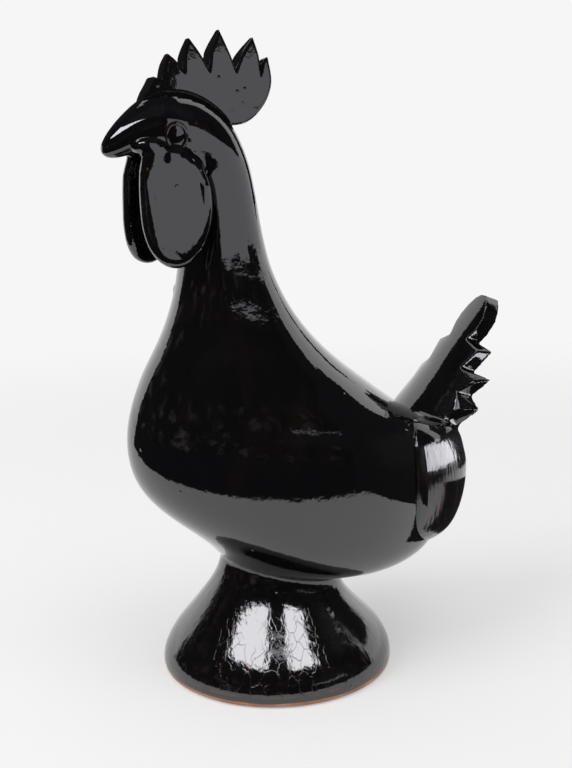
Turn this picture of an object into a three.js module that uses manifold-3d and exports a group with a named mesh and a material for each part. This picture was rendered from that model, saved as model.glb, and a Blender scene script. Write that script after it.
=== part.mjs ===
// Pottery rooster on a flared foot, built the way a potter builds it:
// a thrown body, neck and head, with comb, wattles, eyes, tail and foot luted on.
// Units are millimetres, +Z is up, the beak points along -Y and +X is the bird's left.

import * as THREE from "three";
import { mergeVertices } from "three/addons/utils/BufferGeometryUtils.js";
import Module from "manifold-3d";

const wasm = await Module();
wasm.setup();

// Clay and joints
const bodyWall = 6;
const pedestalWall = 6.5;
const jointGap = 0.3;
const cutOverrun = 2;
const weldDistance = 0.0001;
const ventRadius = 17;
const ventLengthShare = 6;

// Pedestal and foot
const footRadius = 64.2;
const footTread = 10;
const footHeight = 6;
const footRoundShare = 0.45;
const pedestalHeight = 56;
const waistRadius = 33.7;
const waistSetBack = 3;
const waistTilt = 12.5;

// Torso, measured from the middle of the waist; its rump reach follows the tail's wrap
const torsoHeight = 159;
const breastReach = 81;
const torsoHalfWidth = 63;

// Neck, measured from the top of the torso
const neckHeight = 49;
const throatReach = 49.5;
const napeReach = 10;
const neckHalfWidth = 25;

// Head and beak, measured from the top of the neck
const headHeight = 47;
const headHalfWidth = 23;
const faceReach = 71.5;
const beakLength = 18;
const beakRiseShare = 0.32;
const beakHeight = 28;
const beakHalfWidth = 14.5;

// Comb
const combThickness = 11;
const combLength = 64;
const combHeight = 44;
const combFront = 63;
const combRiseShare = 0.64;
const combRound = 2.4;

// Wattles
const wattleThickness = 8;
const wattleLength = 54;
const wattleWidth = 35;
const wattleFront = 75.5;
const wattleSpread = 13;
const wattleToeIn = 15;
const wattleDrop = 38;
const wattleRound = 2.6;

// Eyes
const eyeWidth = 9;
const eyeHeight = 11.6;
const eyeBead = 1.5;
const eyePelletWidth = 4.8;
const eyePelletHeight = 6.8;
const eyePelletDepth = 1.9;
const eyeAngle = 64;
const eyePlaceShare = 0.655;

// Tail
const fanHeight = 66;
const fanHalfWidth = 29;
const fanThickness = 9.9;
const fanLean = 39.3;
const fanRoll = 4;
const fanRootFlare = 7;
const fanCurve = 30;
const fanInset = 31.5;
const fanFoot = 75;
const rumpWrapHeight = 78.5;
const rumpWrapHalfWidth = 53.5;
const rumpWrapReach = 118.5;
const rumpWrapDepth = 14.5;
const rumpWrapRoot = 53;
const rumpWrapLift = 4;

// Facets
const skinSides = 40;
const hollowSides = 28;
const stepsPerStation = 2;
const edgeSteps = 2;
const treadSteps = 3;
const beadSides = 8;
const ringSides = 24;
const pelletSides = 16;
const pelletRings = 10;

const degrees = Math.PI / 180;
const waistLevel = pedestalHeight;
const neckLevel = waistLevel + torsoHeight;
const headLevel = neckLevel + neckHeight;
const rumpReach = rumpWrapReach - rumpWrapDepth;
const fanSetBack = rumpWrapReach - fanInset;

// Glaze and bare clay
const glazeFinish = { color: 0x0b0a0c, roughness: 0.08, metalness: 0 };
const clayFinish = { color: 0xb9704f, roughness: 0.85, metalness: 0 };

// A station is one section of a hollow form: its front and back points in the mid plane,
// its half width, and where along its depth it is widest.
function station(frontY, frontZ, backY, backZ, half, wideShare = 0.5) {
  return { front: new THREE.Vector2(frontY, frontZ), back: new THREE.Vector2(backY, backZ), half, wideShare };
}

function grow(section, amount) {
  const chord = section.back.clone().sub(section.front).normalize();
  return {
    front: section.front.clone().addScaledVector(chord, -amount),
    back: section.back.clone().addScaledVector(chord, amount),
    half: section.half + amount,
    wideShare: section.wideShare,
  };
}

// Angle 0 is the front of the section and a quarter turn is the bird's left.
function pointOn(section, angle) {
  const along = -Math.cos(angle);
  const rear = 1 - section.wideShare;
  const share = section.wideShare + along * (along < 0 ? section.wideShare : rear);
  const middle = section.front.clone().lerp(section.back, share);
  return new THREE.Vector3(section.half * Math.sin(angle), middle.x, middle.y);
}

function ringOf(section, sides) {
  return Array.from({ length: sides }, (_, i) => pointOn(section, (i / sides) * 2 * Math.PI));
}

// Sections between the stations follow smooth curves through them.
function sampler(stations) {
  const last = stations.length - 1;
  const fronts = new THREE.CatmullRomCurve3(stations.map((s) => new THREE.Vector3(s.front.x, s.front.y, 0)));
  const backs = new THREE.CatmullRomCurve3(stations.map((s) => new THREE.Vector3(s.back.x, s.back.y, 0)));
  const widths = new THREE.CatmullRomCurve3(
    stations.map((s, i) => new THREE.Vector3(s.half, s.wideShare * s.half, i * s.half)),
  );
  return (place) => {
    const t = THREE.MathUtils.clamp(place / last, 0, 1);
    const front = fronts.getPoint(t);
    const back = backs.getPoint(t);
    const width = widths.getPoint(t);
    return {
      front: new THREE.Vector2(front.x, front.y),
      back: new THREE.Vector2(back.x, back.y),
      half: width.x,
      wideShare: width.y / width.x,
    };
  };
}

function sectionsBetween(sample, from, to, amount = 0) {
  const count = Math.max(2, Math.ceil((to - from) * stepsPerStation));
  const sections = [];
  for (let i = 0; i <= count; i += 1) {
    sections.push(grow(sample(from + ((to - from) * i) / count), amount));
  }
  return sections;
}

// Joins a stack of sections into one closed solid with flat ends.
function loft(sections, sides) {
  const rings = sections.map((section) => ringOf(section, sides));
  const positions = [];
  const triangle = (a, b, c) => positions.push(...a.toArray(), ...b.toArray(), ...c.toArray());
  for (let i = 0; i + 1 < rings.length; i += 1) {
    for (let j = 0; j < sides; j += 1) {
      const k = (j + 1) % sides;
      triangle(rings[i][j], rings[i][k], rings[i + 1][k]);
      triangle(rings[i][j], rings[i + 1][k], rings[i + 1][j]);
    }
  }
  const firstMiddle = sections[0].front.clone().lerp(sections[0].back, 0.5);
  const lastMiddle = sections.at(-1).front.clone().lerp(sections.at(-1).back, 0.5);
  const bottom = new THREE.Vector3(0, firstMiddle.x, firstMiddle.y);
  const top = new THREE.Vector3(0, lastMiddle.x, lastMiddle.y);
  for (let j = 0; j < sides; j += 1) {
    const k = (j + 1) % sides;
    triangle(bottom, rings[0][k], rings[0][j]);
    triangle(top, rings.at(-1)[j], rings.at(-1)[k]);
  }
  const geometry = new THREE.BufferGeometry();
  geometry.setAttribute("position", new THREE.Float32BufferAttribute(positions, 3));
  return geometry;
}

// Closed geometry to solid and back again
function solid(geometry) {
  const bare = geometry.clone();
  bare.deleteAttribute("normal");
  bare.deleteAttribute("uv");
  const merged = mergeVertices(bare, weldDistance);
  const vertProperties = new Float32Array(merged.attributes.position.array);
  const triVerts = new Uint32Array(merged.index.array);
  const made = new wasm.Manifold(new wasm.Mesh({ numProp: 3, vertProperties, triVerts }));
  return made.volume() < 0 ? solid(flipped(bare)) : made;
}

function flipped(geometry) {
  const loose = geometry.index ? geometry.toNonIndexed() : geometry.clone();
  const array = loose.attributes.position.array;
  for (let i = 0; i < array.length; i += 9) {
    for (let j = 0; j < 3; j += 1) {
      [array[i + 3 + j], array[i + 6 + j]] = [array[i + 6 + j], array[i + 3 + j]];
    }
  }
  return loose;
}

function geometryOf(body) {
  const mesh = body.getMesh();
  const geometry = new THREE.BufferGeometry();
  geometry.setAttribute("position", new THREE.Float32BufferAttribute(mesh.vertProperties, mesh.numProp));
  geometry.setIndex(new THREE.Uint32BufferAttribute(mesh.triVerts, 1));
  geometry.computeVertexNormals();
  return geometry;
}

function node(name, body, finish) {
  const mesh = new THREE.Mesh(geometryOf(body), new THREE.MeshStandardMaterial(finish));
  mesh.name = name;
  return mesh;
}

// A section of the foot or waist: a circle, moved back and tilted rear down
function roundStation(radius, level, setBack, tilt) {
  const reach = radius * Math.cos(tilt * degrees);
  const rise = radius * Math.sin(tilt * degrees);
  return station(setBack - reach, level + rise, setBack + reach, level - rise, radius);
}

// Pedestal: [height share, share of the flare from waist radius to foot radius]
const flareShares = [
  [0.0, 1.0],
  [0.08, 0.985],
  [0.17, 0.92],
  [0.28, 0.79],
  [0.41, 0.6],
  [0.54, 0.42],
  [0.68, 0.24],
  [0.83, 0.08],
  [1.0, 0.0],
];

function pedestalStations() {
  const base = footHeight + jointGap;
  return flareShares.map(([heightShare, flareShare]) =>
    roundStation(
      waistRadius + (footRadius - waistRadius) * flareShare,
      base + (pedestalHeight - jointGap - base) * heightShare,
      waistSetBack * heightShare,
      waistTilt * heightShare * heightShare,
    ),
  );
}

function pedestal() {
  const stations = pedestalStations();
  const sample = sampler(stations);
  const last = stations.length - 1;
  const outside = solid(loft(sectionsBetween(sample, 0, last), skinSides));
  const hollow = sectionsBetween(sample, 0, last, -pedestalWall);
  hollow.unshift(shifted(hollow[0], -cutOverrun));
  hollow.push(shifted(hollow.at(-1), cutOverrun));
  return outside.subtract(solid(loft(hollow, hollowSides)));
}

function shifted(section, rise) {
  return {
    front: section.front.clone().add(new THREE.Vector2(0, rise)),
    back: section.back.clone().add(new THREE.Vector2(0, rise)),
    half: section.half,
    wideShare: section.wideShare,
  };
}

// Foot ring: the rolled coil that the cone stands on, wiped bare underneath
function footRing() {
  const inner = footRadius - footTread;
  const treadRound = footHeight * footRoundShare;
  const profile = new THREE.Shape();
  profile.moveTo(inner, 0);
  profile.lineTo(footRadius - treadRound, 0);
  profile.quadraticCurveTo(footRadius, 0, footRadius, treadRound);
  profile.lineTo(footRadius, footHeight);
  profile.lineTo(inner, footHeight);
  profile.closePath();
  const outline = profile.getPoints(treadSteps);
  const geometry = new THREE.LatheGeometry(outline, skinSides + hollowSides);
  geometry.rotateX(Math.PI / 2);
  return solid(geometry);
}

// Body skin in one run from the waist to the beak tip, cut into torso, neck, head and beak.
// Torso rows: front reach, front rise, back reach, back rise, half width, widest place
const torsoShares = [
  [0.5, 0.115, 0.56, -0.052, 0.73, 0.47],
  [0.65, 0.18, 0.76, -0.03, 0.86, 0.46],
  [0.81, 0.25, 0.925, 0.03, 0.94, 0.46],
  [0.94, 0.333, 0.995, 0.14, 0.985, 0.46],
  [1.0, 0.43, 1.0, 0.273, 1.0, 0.46],
  [0.995, 0.535, 0.955, 0.385, 0.985, 0.46],
  [0.945, 0.628, 0.86, 0.481, 0.93, 0.46],
  [0.868, 0.72, 0.695, 0.55, 0.845, 0.46],
  [0.763, 0.814, 0.483, 0.65, 0.735, 0.46],
  [0.685, 0.907, 0.25, 0.77, 0.615, 0.47],
];
// Neck rows: throat reach, rise, nape reach forward of the axis, rise, half width
const neckShares = [
  [1.04, 0.0, -0.8, -0.31, 1.27],
  [1.0, 0.27, 0.25, 0.12, 1.1],
  [0.97, 0.55, 0.72, 0.51, 1.0],
  [0.97, 0.82, 1.0, 0.88, 0.93],
];
// Head rows: reach of the throat and crown, each with its rise, and the half width
const headShares = [
  [0.685, 0.0, 0.18, 0.2, 0.96],
  [0.735, 0.16, 0.24, 0.45, 0.98],
  [0.8, 0.27, 0.35, 0.73, 1.0],
  [0.86, 0.33, 0.56, 0.95, 0.96],
  [0.93, 0.355, 0.8, 1.0, 0.81],
];
// Beak rows: forward of the face, underside and top rise over the beak's own height, half width
const beakShares = [
  [0.0, 0.06, -0.2, 1.0, 1.0],
  [0.31, 0.02, 0.22, 0.8, 0.74],
  [0.61, -0.02, 0.58, 0.58, 0.54],
  [0.87, 0.0, 0.86, 0.36, 0.34],
  [1.0, 0.08, 1.0, 0.2, 0.14],
];

const beakLevel = headLevel + headHeight * beakRiseShare;

const skinStations = [
  roundStation(waistRadius, waistLevel + jointGap, waistSetBack, waistTilt),
  ...torsoShares.map(([front, frontRise, back, backRise, half, wide]) =>
    station(
      -breastReach * front,
      waistLevel + torsoHeight * frontRise,
      rumpReach * back,
      waistLevel + torsoHeight * backRise,
      torsoHalfWidth * half,
      wide,
    ),
  ),
  ...neckShares.map(([throat, throatRise, nape, napeRise, half]) =>
    station(
      -throatReach * throat,
      neckLevel + neckHeight * throatRise,
      -napeReach * nape,
      neckLevel + neckHeight * napeRise,
      neckHalfWidth * half,
    ),
  ),
  ...headShares.map(([throat, throatRise, crown, crownRise, half]) =>
    station(
      -faceReach * throat,
      headLevel + headHeight * throatRise,
      -faceReach * crown,
      headLevel + headHeight * crownRise,
      headHalfWidth * half,
    ),
  ),
  ...beakShares.map(([under, underRise, top, topRise, half]) =>
    station(
      -faceReach - beakLength * under,
      beakLevel + beakHeight * underRise,
      -faceReach - beakLength * top,
      beakLevel + beakHeight * topRise,
      beakHalfWidth * half,
    ),
  ),
];

const skin = sampler(skinStations);
const neckStart = 1 + torsoShares.length;
const headStart = neckStart + neckShares.length;
const beakStart = headStart + headShares.length;
const skinEnd = skinStations.length - 1;

// The part of a station step that leaves the joint gap between two pieces
const probeShare = 0.05;

function gapStep(place) {
  const here = skin(place);
  const next = skin(place + probeShare);
  const travel = Math.min(here.front.distanceTo(next.front), here.back.distanceTo(next.back));
  return (probeShare * jointGap) / travel;
}

function skinSolid(from, to, amount = 0, sides = skinSides) {
  return solid(loft(sectionsBetween(skin, from, to, amount), sides));
}

// The floor of the torso keeps a vent, so that the hollow can breathe in the kiln.
function torso() {
  const outside = skinSolid(0, neckStart);
  const hollow = sectionsBetween(skin, 1, neckStart, -bodyWall);
  hollow.push(shifted(hollow.at(-1), cutOverrun));
  const vent = new THREE.CylinderGeometry(ventRadius, ventRadius, bodyWall * ventLengthShare, hollowSides);
  vent.rotateX(Math.PI / 2);
  vent.translate(0, waistSetBack, waistLevel + bodyWall);
  return outside.subtract(solid(loft(hollow, hollowSides))).subtract(solid(vent));
}

function neck() {
  const from = neckStart + gapStep(neckStart);
  const outside = skinSolid(from, headStart);
  const hollow = sectionsBetween(skin, from, headStart, -bodyWall);
  hollow.unshift(shifted(hollow[0], -cutOverrun));
  hollow.push(shifted(hollow.at(-1), cutOverrun));
  return outside.subtract(solid(loft(hollow, hollowSides)));
}

// The hollow stops this part of a station step short of the face.
const solidFaceShare = 1.5;

function head() {
  const from = headStart + gapStep(headStart);
  const outside = skinSolid(from, beakStart);
  const hollow = sectionsBetween(skin, from, beakStart - solidFaceShare, -bodyWall);
  hollow.unshift(shifted(hollow[0], -cutOverrun));
  return outside.subtract(solid(loft(hollow, hollowSides)));
}

function beak() {
  return skinSolid(beakStart + gapStep(beakStart), skinEnd);
}

// What sits on the skin is cut to it, with the joint gap left open.
function headSeat() {
  return skinSolid(neckStart - 1, skinEnd, jointGap);
}

function torsoSeat() {
  return skinSolid(0, neckStart, jointGap);
}

// Comb: a toothed slab along the crown. Points run from the forehead over the six tips
// to the rear lobe: [share of the length, share of the height]
const combShares = [
  [-0.09, 0.2],
  [0.0, 0.5],
  [0.06, 0.475],
  [0.15, 0.72],
  [0.24, 0.57],
  [0.33, 0.9],
  [0.455, 0.66],
  [0.585, 1.0],
  [0.69, 0.62],
  [0.87, 0.93],
  [0.915, 0.63],
  [1.0, 0.72],
  [1.0, 0.47],
  [0.93, 0.21],
  [0.77, 0.01],
  [0.6, -0.02],
  [0.4, 0.1],
  [0.1, 0.12],
];

function slab(outline, thickness, round) {
  const shape = new THREE.Shape(outline);
  const geometry = new THREE.ExtrudeGeometry(shape, {
    depth: thickness - 2 * round,
    bevelEnabled: true,
    bevelThickness: round,
    bevelSize: round,
    bevelOffset: -round,
    bevelSegments: edgeSteps,
  });
  geometry.translate(0, 0, round - thickness / 2);
  return geometry;
}

// Turns a slab drawn as (along, up) with its thickness on Z so that along is +Y and up is +Z.
function upright(geometry) {
  geometry.rotateX(Math.PI / 2);
  geometry.rotateZ(Math.PI / 2);
  return geometry;
}

function comb() {
  const foot = headLevel + headHeight + combHeight * (combRiseShare - 1);
  const outline = combShares.map(
    ([along, up]) => new THREE.Vector2(-combFront + combLength * along, foot + combHeight * up),
  );
  return solid(upright(slab(outline, combThickness, combRound))).subtract(headSeat());
}

// Wattle: a drooping slab hung from the cheek. The outline runs down the front edge and
// up the back: [share of the width, share of the length below the top]
const wattleShares = [
  [0.1, 0.1],
  [0.03, 0.27],
  [0.0, 0.45],
  [0.02, 0.64],
  [0.1, 0.82],
  [0.25, 0.95],
  [0.45, 1.0],
  [0.66, 0.96],
  [0.85, 0.82],
  [0.96, 0.64],
  [1.0, 0.44],
  [0.97, 0.24],
  [0.86, 0.08],
  [0.62, 0.0],
  [0.3, 0.0],
];

function wattle(side) {
  const outline = wattleShares.map(
    ([back, down]) => new THREE.Vector2(wattleWidth * back, -wattleLength * down),
  );
  const geometry = upright(slab(outline, wattleThickness, wattleRound));
  geometry.rotateZ(-wattleToeIn * degrees);
  geometry.translate(wattleSpread, -wattleFront, headLevel - wattleDrop + wattleLength);
  if (side < 0) geometry.scale(-1, 1, 1);
  return solid(side < 0 ? flipped(geometry) : geometry).subtract(headSeat());
}

// Eyes: a raised ring with a pellet inside it on each cheek, set square to the skin
function cheekFrame() {
  const place = headStart + (beakStart - headStart) * eyePlaceShare;
  const angle = eyeAngle * degrees;
  const seat = pointOn(skin(place), angle);
  const along = pointOn(skin(place + probeShare), angle).sub(pointOn(skin(place - probeShare), angle));
  const around = pointOn(skin(place), angle + probeShare).sub(pointOn(skin(place), angle - probeShare));
  const outward = along.cross(around).normalize();
  if (outward.x < 0) outward.negate();
  const wide = new THREE.Vector3(0, 0, 1).cross(outward).normalize();
  const high = outward.clone().cross(wide);
  return new THREE.Matrix4().makeBasis(wide, high, outward).setPosition(seat);
}

function seatEye(geometry, side) {
  geometry.applyMatrix4(cheekFrame());
  if (side < 0) geometry.scale(-1, 1, 1);
  return solid(side < 0 ? flipped(geometry) : geometry).subtract(headSeat());
}

function eyeRing(side) {
  const geometry = new THREE.TorusGeometry(eyeWidth / 2, eyeBead, beadSides, ringSides);
  geometry.scale(1, eyeHeight / eyeWidth, 1);
  return seatEye(geometry, side);
}

function eyePellet(side) {
  const geometry = new THREE.SphereGeometry(1, pelletSides, pelletRings);
  geometry.scale(eyePelletWidth / 2, eyePelletHeight / 2, eyePelletDepth);
  return seatEye(geometry, side);
}

// Tail fan: a cupped slab with three teeth on each side and a rounded top lobe.
// Rows: rise of the front and rear faces above the back, half width of each, root flare
const fanShares = [
  [-0.14, -0.2, 0.86, 0.86, 1.0],
  [-0.03, -0.085, 0.84, 0.86, 0.8],
  [0.08, 0.11, 1.0, 1.14, 0.45],
  [0.24, 0.185, 0.75, 0.77, 0.15],
  [0.325, 0.345, 0.905, 1.02, 0.05],
  [0.42, 0.365, 0.52, 0.56, 0.0],
  [0.57, 0.55, 0.65, 0.7, 0.0],
  [0.644, 0.59, 0.27, 0.3, 0.0],
  [0.73, 0.68, 0.37, 0.36, 0.0],
  [0.82, 0.77, 0.37, 0.35, 0.0],
  [0.9, 0.85, 0.3, 0.28, 0.0],
  [0.96, 0.905, 0.2, 0.18, 0.0],
  [1.0, 0.945, 0.08, 0.07, 0.0],
];
const fanColumns = 8;

function fan() {
  const leanSlope = Math.tan(fanLean * degrees);
  const rollSlope = Math.tan(fanRoll * degrees);
  const backLevel = waistLevel + fanFoot;
  const front = [];
  const rear = [];
  fanShares.forEach(([frontUp, rearUp, frontWide, rearWide, flare]) => {
    for (let j = 0; j <= fanColumns; j += 1) {
      const across = (2 * j) / fanColumns - 1;
      const frontX = fanHalfWidth * frontWide * across;
      const rearX = fanHalfWidth * rearWide * across;
      const faceY = fanSetBack + fanHeight * frontUp * leanSlope + frontX ** 2 / (2 * fanCurve);
      const frontZ = backLevel + fanHeight * frontUp - frontX * rollSlope;
      const rearZ = backLevel + fanHeight * rearUp - rearX * rollSlope;
      front.push(new THREE.Vector3(frontX, faceY - fanRootFlare * flare, frontZ));
      rear.push(new THREE.Vector3(rearX, faceY + fanThickness, rearZ));
    }
  });
  return solid(sheet(front, rear, fanColumns + 1));
}

// Closes two grids of points, a given number to a row, into one solid.
function sheet(front, rear, perRow) {
  const rows = front.length / perRow;
  const positions = [];
  const quad = (a, b, c, d) => {
    [a, b, c, a, c, d].forEach((point) => positions.push(...point.toArray()));
  };
  for (let i = 0; i + 1 < rows; i += 1) {
    for (let j = 0; j + 1 < perRow; j += 1) {
      const k = i * perRow + j;
      quad(front[k], front[k + 1], front[k + perRow + 1], front[k + perRow]);
      quad(rear[k], rear[k + perRow], rear[k + perRow + 1], rear[k + 1]);
    }
    const left = i * perRow;
    const right = left + perRow - 1;
    quad(front[left], front[left + perRow], rear[left + perRow], rear[left]);
    quad(front[right], rear[right], rear[right + perRow], front[right + perRow]);
  }
  for (let j = 0; j + 1 < perRow; j += 1) {
    const top = (rows - 1) * perRow + j;
    quad(front[j], rear[j], rear[j + 1], front[j + 1]);
    quad(front[top], front[top + 1], rear[top + 1], rear[top]);
  }
  const geometry = new THREE.BufferGeometry();
  geometry.setAttribute("position", new THREE.Float32BufferAttribute(positions, 3));
  return geometry;
}

// Rump wrap: the root of the tail that cups the end of the torso.
// Rows: rise at the root and at the rear, reach of the root and the rear, half width
const rumpShares = [
  [0.0, 0.0, 1.23, 0.86, 0.46],
  [0.09, 0.09, 1.08, 0.915, 0.76],
  [0.23, 0.23, 1.0, 0.96, 0.93],
  [0.42, 0.41, 1.0, 0.99, 1.0],
  [0.63, 0.58, 1.0, 1.0, 1.0],
  [0.79, 0.69, 1.02, 0.985, 0.95],
  [0.91, 0.77, 1.06, 0.965, 0.86],
  [1.0, 0.82, 1.14, 0.93, 0.72],
];
const rumpWideShare = 0.12;

function tail() {
  const base = waistLevel + rumpWrapLift;
  const stations = rumpShares.map(([rootRise, rearRise, root, reach, half]) =>
    station(
      rumpWrapRoot * root,
      base + rumpWrapHeight * rootRise,
      rumpWrapReach * reach,
      base + rumpWrapHeight * rearRise,
      rumpWrapHalfWidth * half,
      rumpWideShare,
    ),
  );
  const wrap = solid(loft(sectionsBetween(sampler(stations), 0, stations.length - 1), skinSides));
  return wrap.add(fan()).subtract(torsoSeat());
}

const rooster = new THREE.Group();
rooster.add(
  node("pedestal", pedestal(), glazeFinish),
  node("foot_ring", footRing(), clayFinish),
  node("torso", torso(), glazeFinish),
  node("neck", neck(), glazeFinish),
  node("head", head(), glazeFinish),
  node("beak", beak(), glazeFinish),
  node("comb", comb(), glazeFinish),
  node("wattle_left", wattle(1), glazeFinish),
  node("wattle_right", wattle(-1), glazeFinish),
  node("eye_ring_left", eyeRing(1), glazeFinish),
  node("eye_ring_right", eyeRing(-1), glazeFinish),
  node("eye_pellet_left", eyePellet(1), glazeFinish),
  node("eye_pellet_right", eyePellet(-1), glazeFinish),
  node("tail", tail(), glazeFinish),
);

// The origin is on the table under the middle of the whole bird.
const bounds = new THREE.Box3().setFromObject(rooster);
rooster.position.set(0, -(bounds.min.y + bounds.max.y) / 2, 0);

export default rooster;
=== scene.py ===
# Pottery rooster, black glaze on red clay. Metres, +Z up, the beak points towards -Y.
import math

import bmesh
import bpy
import numpy as np
from mathutils import Matrix, Vector
from mathutils.bvhtree import BVHTree


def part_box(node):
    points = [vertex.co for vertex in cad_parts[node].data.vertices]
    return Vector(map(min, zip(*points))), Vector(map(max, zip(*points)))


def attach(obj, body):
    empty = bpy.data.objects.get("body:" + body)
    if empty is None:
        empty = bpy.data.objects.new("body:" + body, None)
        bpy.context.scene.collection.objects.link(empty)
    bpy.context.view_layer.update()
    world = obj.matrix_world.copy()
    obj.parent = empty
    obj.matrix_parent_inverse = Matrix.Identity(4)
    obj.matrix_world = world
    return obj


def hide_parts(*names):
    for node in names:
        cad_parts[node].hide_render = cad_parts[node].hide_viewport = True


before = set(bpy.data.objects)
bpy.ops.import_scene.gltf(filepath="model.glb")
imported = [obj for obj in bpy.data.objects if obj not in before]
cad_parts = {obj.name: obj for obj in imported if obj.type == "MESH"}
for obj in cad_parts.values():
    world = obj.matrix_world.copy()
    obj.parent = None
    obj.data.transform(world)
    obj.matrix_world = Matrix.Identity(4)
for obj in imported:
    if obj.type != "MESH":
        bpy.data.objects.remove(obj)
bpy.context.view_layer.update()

mm = 0.001
footLow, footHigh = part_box("foot_ring")
axisY = (footLow.y + footHigh.y) / 2  # the wheel's axis runs up through here


def place(x, y, z):
    # millimetres from the wheel's axis to metres in the frame
    return Vector((x * mm, y * mm + axisY, z * mm))


def setMode(mode):
    bpy.ops.object.mode_set(mode=mode)


def selectMesh(action):
    bpy.ops.mesh.select_all(action=action)


def deselectAll():
    if bpy.context.mode != "OBJECT":
        setMode("OBJECT")
    bpy.ops.object.select_all(action="DESELECT")


def makeActive(*pieces):
    deselectAll()
    for piece in pieces:
        piece.hide_set(False)
        piece.select_set(True)
    bpy.context.view_layer.objects.active = pieces[0]
    return pieces[0]


def startPiece(name):
    deselectAll()
    bpy.ops.object.add(type="MESH", enter_editmode=True, location=(0, 0, 0))
    piece = bpy.context.edit_object
    piece.name = name
    return piece


def pick(piece, kind, rule):
    # in edit mode: selects the vertices or the edges that the rule names
    bpy.ops.mesh.select_mode(type=kind)
    selectMesh("DESELECT")
    mesh = bmesh.from_edit_mesh(piece.data)
    for item in mesh.verts if kind == "VERT" else mesh.edges:
        if rule(item):
            item.select_set(True)
    if kind == "VERT":
        mesh.select_flush(True)
    bmesh.update_edit_mesh(piece.data)


def finishPiece(piece, levels=0):
    setMode("EDIT")
    selectMesh("SELECT")
    bpy.ops.mesh.normals_make_consistent(inside=False)
    setMode("OBJECT")
    if levels:
        soften = piece.modifiers.new("rounding", "SUBSURF")
        soften.levels = soften.render_levels = levels
        applyModifiers(piece)
    return piece


def applyModifiers(piece):
    makeActive(piece)
    for modifier in list(piece.modifiers):
        bpy.ops.object.modifier_apply(modifier=modifier.name)


def toScene(piece):
    bpy.context.scene.collection.objects.link(piece)
    return piece


def copyOf(piece, name):
    double = toScene(piece.copy())
    double.data = piece.data.copy()
    double.name = name
    return double


def settle(piece):
    # the object's own place, turn and size go into its mesh
    makeActive(piece)
    bpy.ops.object.transform_apply(location=True, rotation=True, scale=True)
    return finishPiece(piece)


def pickOpenEdges():
    bpy.ops.mesh.select_mode(type="EDGE")
    selectMesh("DESELECT")
    bpy.ops.mesh.select_non_manifold(extend=False, use_wire=False, use_boundary=True,
                                     use_multi_face=False, use_non_contiguous=False, use_verts=False)


def setFaces(piece, key, value):
    piece.data.polygons.foreach_set(key, [value] * len(piece.data.polygons))


def readAll(items, key, kind=float, width=1):
    values = np.zeros(len(items) * width, kind)
    items.foreach_get(key, values)
    return values.reshape(-1, width) if width > 1 else values


# sections: the thrown forms are drawn as stacks of sections, as in the clay's own plan
def section(frontY, frontZ, backY, backZ, half, wide=0.5):
    return Vector((frontY, frontZ)), Vector((backY, backZ)), half, wide


def roundSection(radius, level, setBack=0.0, tilt=0.0):
    reach, rise = radius * math.cos(math.radians(tilt)), radius * math.sin(math.radians(tilt))
    return section(setBack - reach, level + rise, setBack + reach, level - rise, radius)


def curvePoint(points, spot):
    # a smooth curve through the points, the same one that the clay plan uses
    last = len(points) - 1
    i = max(0, min(int(spot), last - 1))
    t = spot - i
    b, c = points[i], points[i + 1]
    a = points[i - 1] if i else b * 2 - c
    d = points[i + 2] if i + 2 <= last else c * 2 - b
    ab, bc, cd = (max((q - p).length, 1e-4) ** 0.5 for p, q in ((a, b), (b, c), (c, d)))
    leave = ((b - a) / ab - (c - a) / (ab + bc) + (c - b) / bc) * bc
    arrive = ((c - b) / bc - (d - b) / (bc + cd) + (d - c) / cd) * bc
    return b + leave * t + ((c - b) * 3 - leave * 2 - arrive) * t**2 + ((b - c) * 2 + leave + arrive) * t**3


def sectionAt(rows, spot):
    front = curvePoint([row[0] for row in rows], spot)
    back = curvePoint([row[1] for row in rows], spot)
    width = curvePoint([Vector((row[2], row[3] * row[2], i * row[2])) for i, row in enumerate(rows)], spot)
    return front, back, width.x, width.y / width.x


def between(rows, steps):
    count = (len(rows) - 1) * steps
    return [sectionAt(rows, i / steps) for i in range(count + 1)]


def addRing(row, sides):
    front, back, half, wide = row
    swell = 1 / (1 - 0.5 * (math.pi / sides) ** 2)  # the rounding afterwards draws a ring in by this much
    chord = back - front
    middle = front + chord * wide
    centre = place(0, middle.x, middle.y)
    reach = chord.length * wide * mm * swell
    selectMesh("DESELECT")
    bpy.ops.mesh.primitive_circle_add(
        vertices=sides, radius=reach, location=centre, rotation=(math.atan2(chord.y, chord.x), 0, 0))
    bpy.ops.transform.resize(value=(half * mm * swell / reach, 1, 1), center_override=centre)
    rear = (1 - wide) / wide
    if abs(rear - 1) > 0.01:
        along = Vector((0, chord.x, chord.y)).normalized()
        mesh = bmesh.from_edit_mesh(bpy.context.edit_object.data)
        for vertex in mesh.verts:
            if vertex.select and (vertex.co - centre).dot(along) < reach * 0.01:
                vertex.select_set(False)
        mesh.select_flush(False)
        bpy.ops.transform.resize(value=(1, rear, rear), center_override=centre)


def loft(name, rows, sides, levels=0, capInset=0.0):
    piece = startPiece(name)
    for row in rows:
        addRing(row, sides)
    selectMesh("SELECT")
    bpy.ops.mesh.bridge_edge_loops()
    total = sides * len(rows)
    for first in (0, total - sides):
        pick(piece, "VERT", lambda vertex: first <= vertex.index < first + sides)
        bpy.ops.mesh.edge_face_add()
        if capInset:
            bpy.ops.mesh.select_mode(type="FACE")
            bpy.ops.mesh.inset(thickness=capInset * mm)
    return finishPiece(piece, levels)


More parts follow.
